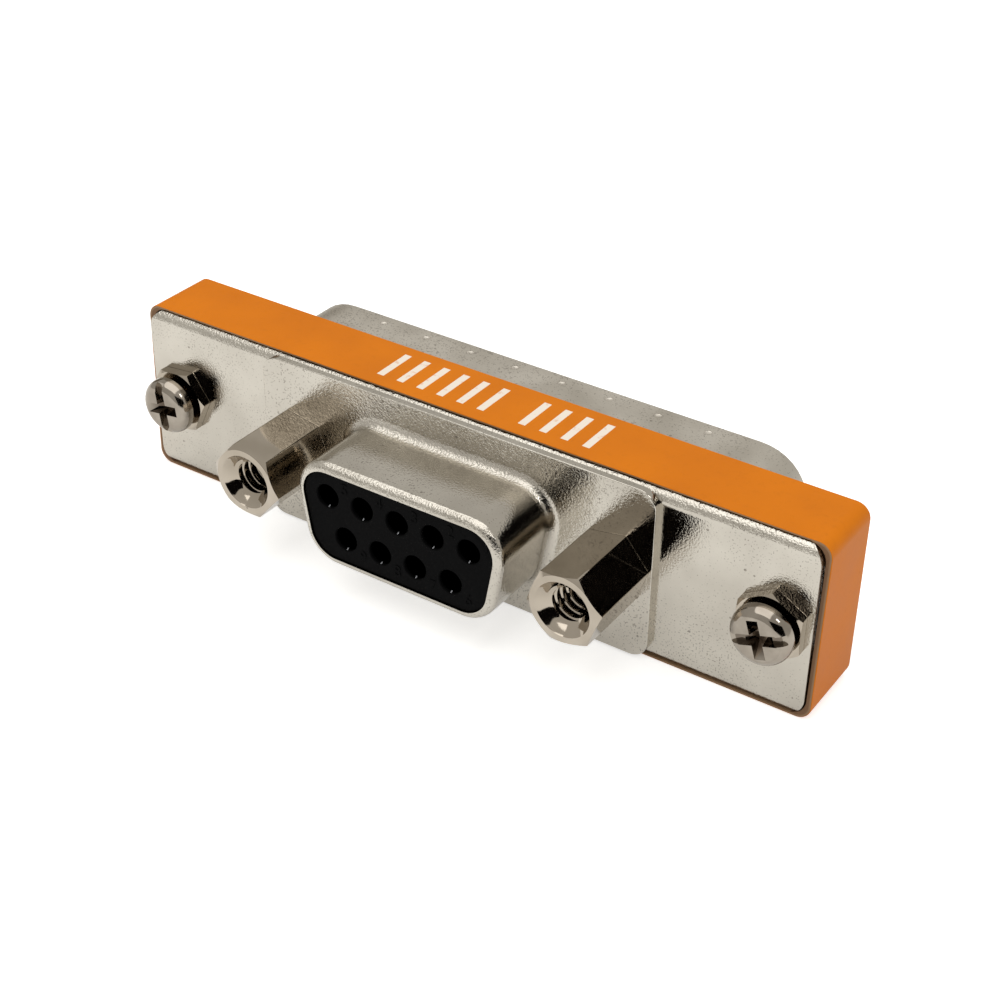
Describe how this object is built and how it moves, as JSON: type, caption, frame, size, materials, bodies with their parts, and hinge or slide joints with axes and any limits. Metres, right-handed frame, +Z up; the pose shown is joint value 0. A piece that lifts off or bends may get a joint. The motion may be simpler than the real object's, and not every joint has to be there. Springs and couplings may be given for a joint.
{
  "type": "d-sub adapter",
  "caption": "Slim adapter block with a D shaped contact socket in front, a wider D shaped pin plug behind, hexagon standoffs and captive jackscrews.",
  "frame": {"origin": "centre of the band's flat lower face, midway between its front and rear edges", "axes": "+X along the long side, +Y towards the 25 way plug, +Z up, wide contact rows on top"},
  "size_m": [0.0532, 0.0175, 0.0129],
  "materials": {
    "orange_plastic": "satin printed band",
    "bright_steel": "bright tin plated sheet with a fine grain",
    "matte_steel": "matte tin plated sheet",
    "black_plastic": "moulded",
    "board_laminate": "green solder mask",
    "nickel_brass": "polished nickel plate",
    "nickel_steel": "polished nickel plate",
    "washer_plastic": "black nylon",
    "gold_contact": "gold flashed"
  },
  "bodies": {
    "housing": {"band": "orange_plastic", "front_plate": "bright_steel", "socket_shell": "bright_steel", "socket_insulator": "black_plastic", "circuit_board": "board_laminate", "plug_insulator": "black_plastic", "plug_shell": "matte_steel", "standoff_left": "nickel_brass", "standoff_right": "nickel_brass", "hex_nut_left": "nickel_brass", "hex_nut_right": "nickel_brass", "socket_contact_1": "gold_contact", "socket_contact_2": "gold_contact", "socket_contact_3": "gold_contact", "socket_contact_4": "gold_contact", "socket_contact_5": "gold_contact", "socket_contact_6": "gold_contact", "socket_contact_7": "gold_contact", "socket_contact_8": "gold_contact", "socket_contact_9": "gold_contact", "plug_pin_1": "gold_contact", "plug_pin_2": "gold_contact", "plug_pin_3": "gold_contact", "plug_pin_4": "gold_contact", "plug_pin_5": "gold_contact", "plug_pin_6": "gold_contact", "plug_pin_7": "gold_contact", "plug_pin_8": "gold_contact", "plug_pin_9": "gold_contact", "plug_pin_10": "gold_contact", "plug_pin_11": "gold_contact", "plug_pin_12": "gold_contact", "plug_pin_13": "gold_contact", "plug_pin_14": "gold_contact", "plug_pin_15": "gold_contact", "plug_pin_16": "gold_contact", "plug_pin_17": "gold_contact", "plug_pin_18": "gold_contact", "plug_pin_19": "gold_contact", "plug_pin_20": "gold_contact", "plug_pin_21": "gold_contact", "plug_pin_22": "gold_contact", "plug_pin_23": "gold_contact", "plug_pin_24": "gold_contact", "plug_pin_25": "gold_contact"},
    "washer_left": {"retaining_washer_left": "washer_plastic"},
    "washer_right": {"retaining_washer_right": "washer_plastic"},
    "jackscrew_left": {"jackscrew_left": "nickel_steel"},
    "jackscrew_right": {"jackscrew_right": "nickel_steel"}
  },
  "joints": [
    {"name": "screw_left_float", "type": "slide", "parent": "housing", "child": "washer_left", "axis": [0, 1, 0], "range_m": [-0.00211, 0.00045]},
    {"name": "screw_left_turn", "type": "hinge", "parent": "washer_left", "child": "jackscrew_left", "pos_m": [-0.02352, 0, 0.00643], "axis": [0, 1, 0], "continuous": true},
    {"name": "screw_right_float", "type": "slide", "parent": "housing", "child": "washer_right", "axis": [0, 1, 0], "range_m": [-0.00218, 0.00038]},
    {"name": "screw_right_turn", "type": "hinge", "parent": "washer_right", "child": "jackscrew_right", "pos_m": [0.02352, 0, 0.00643], "axis": [0, 1, 0], "continuous": true}
  ]
}
